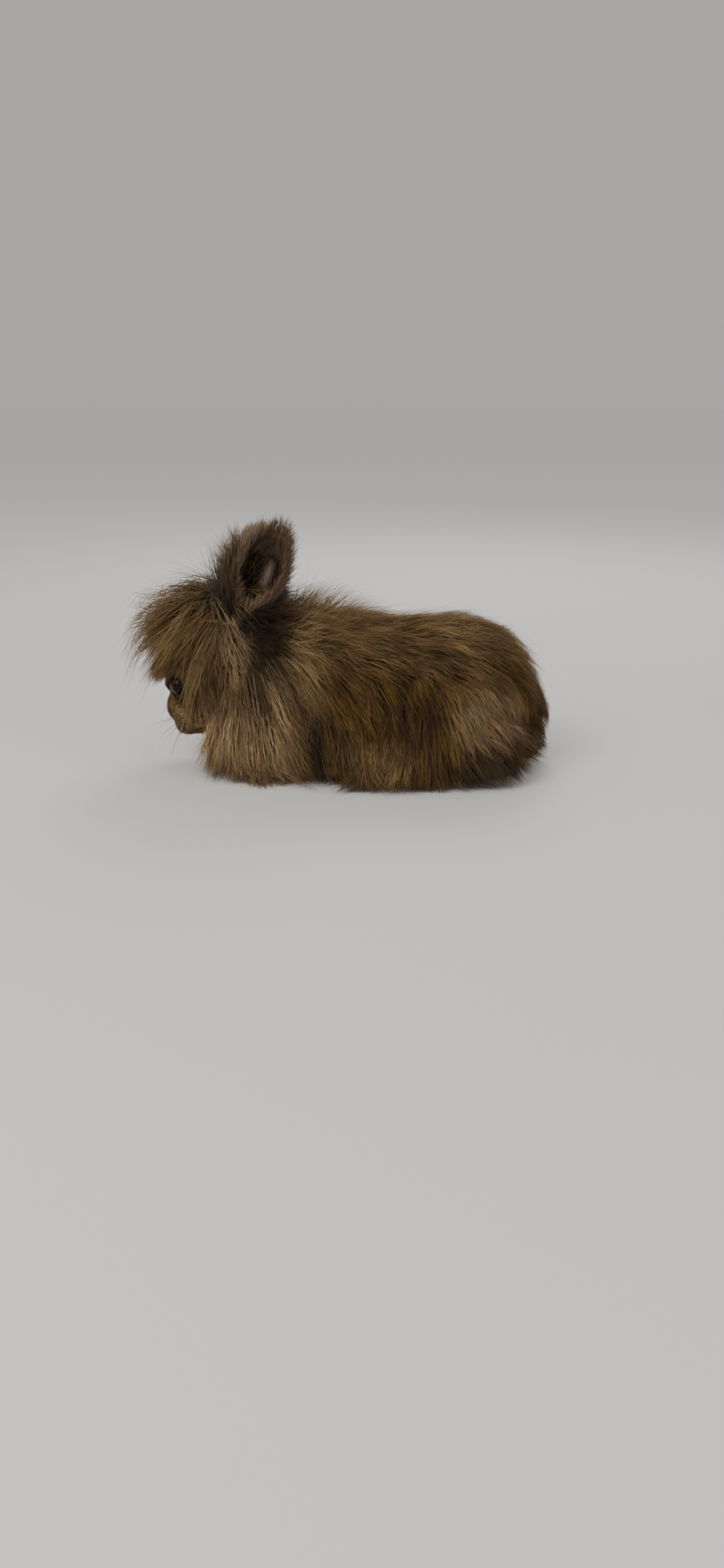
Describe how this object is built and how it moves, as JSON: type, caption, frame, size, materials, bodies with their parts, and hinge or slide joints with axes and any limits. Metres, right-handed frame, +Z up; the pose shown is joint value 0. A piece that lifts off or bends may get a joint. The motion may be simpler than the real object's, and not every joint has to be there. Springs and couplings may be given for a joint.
{
  "type": "lionhead rabbit",
  "caption": "Crouching lionhead rabbit with a woolly mane and forelock, head lowered and turned aside, as a still life-size model.",
  "frame": {"origin": "on the floor below the middle of the animal's bounding box", "axes": "+Z up, -Y is the way the rabbit's body faces, +X its left side"},
  "size_m": [0.1408, 0.2894, 0.1798],
  "materials": {
    "coat": "long grey-brown coat with tan tips",
    "mane": "long tan and grey-brown wool",
    "face_fur": "short brown fur with a long forelock",
    "ear_fur": "short smoky fur",
    "eye_dark": "wet dark brown"
  },
  "bodies": {
    "root": {"torso": "coat", "neck": "mane", "head": "face_fur", "ear_left": "ear_fur", "ear_right": "ear_fur", "eye_left": "eye_dark", "eye_right": "eye_dark", "foreleg_left": "coat", "foreleg_right": "coat", "hindleg_left": "coat", "hindleg_right": "coat", "tail": "coat"}
  },
  "joints": []
}
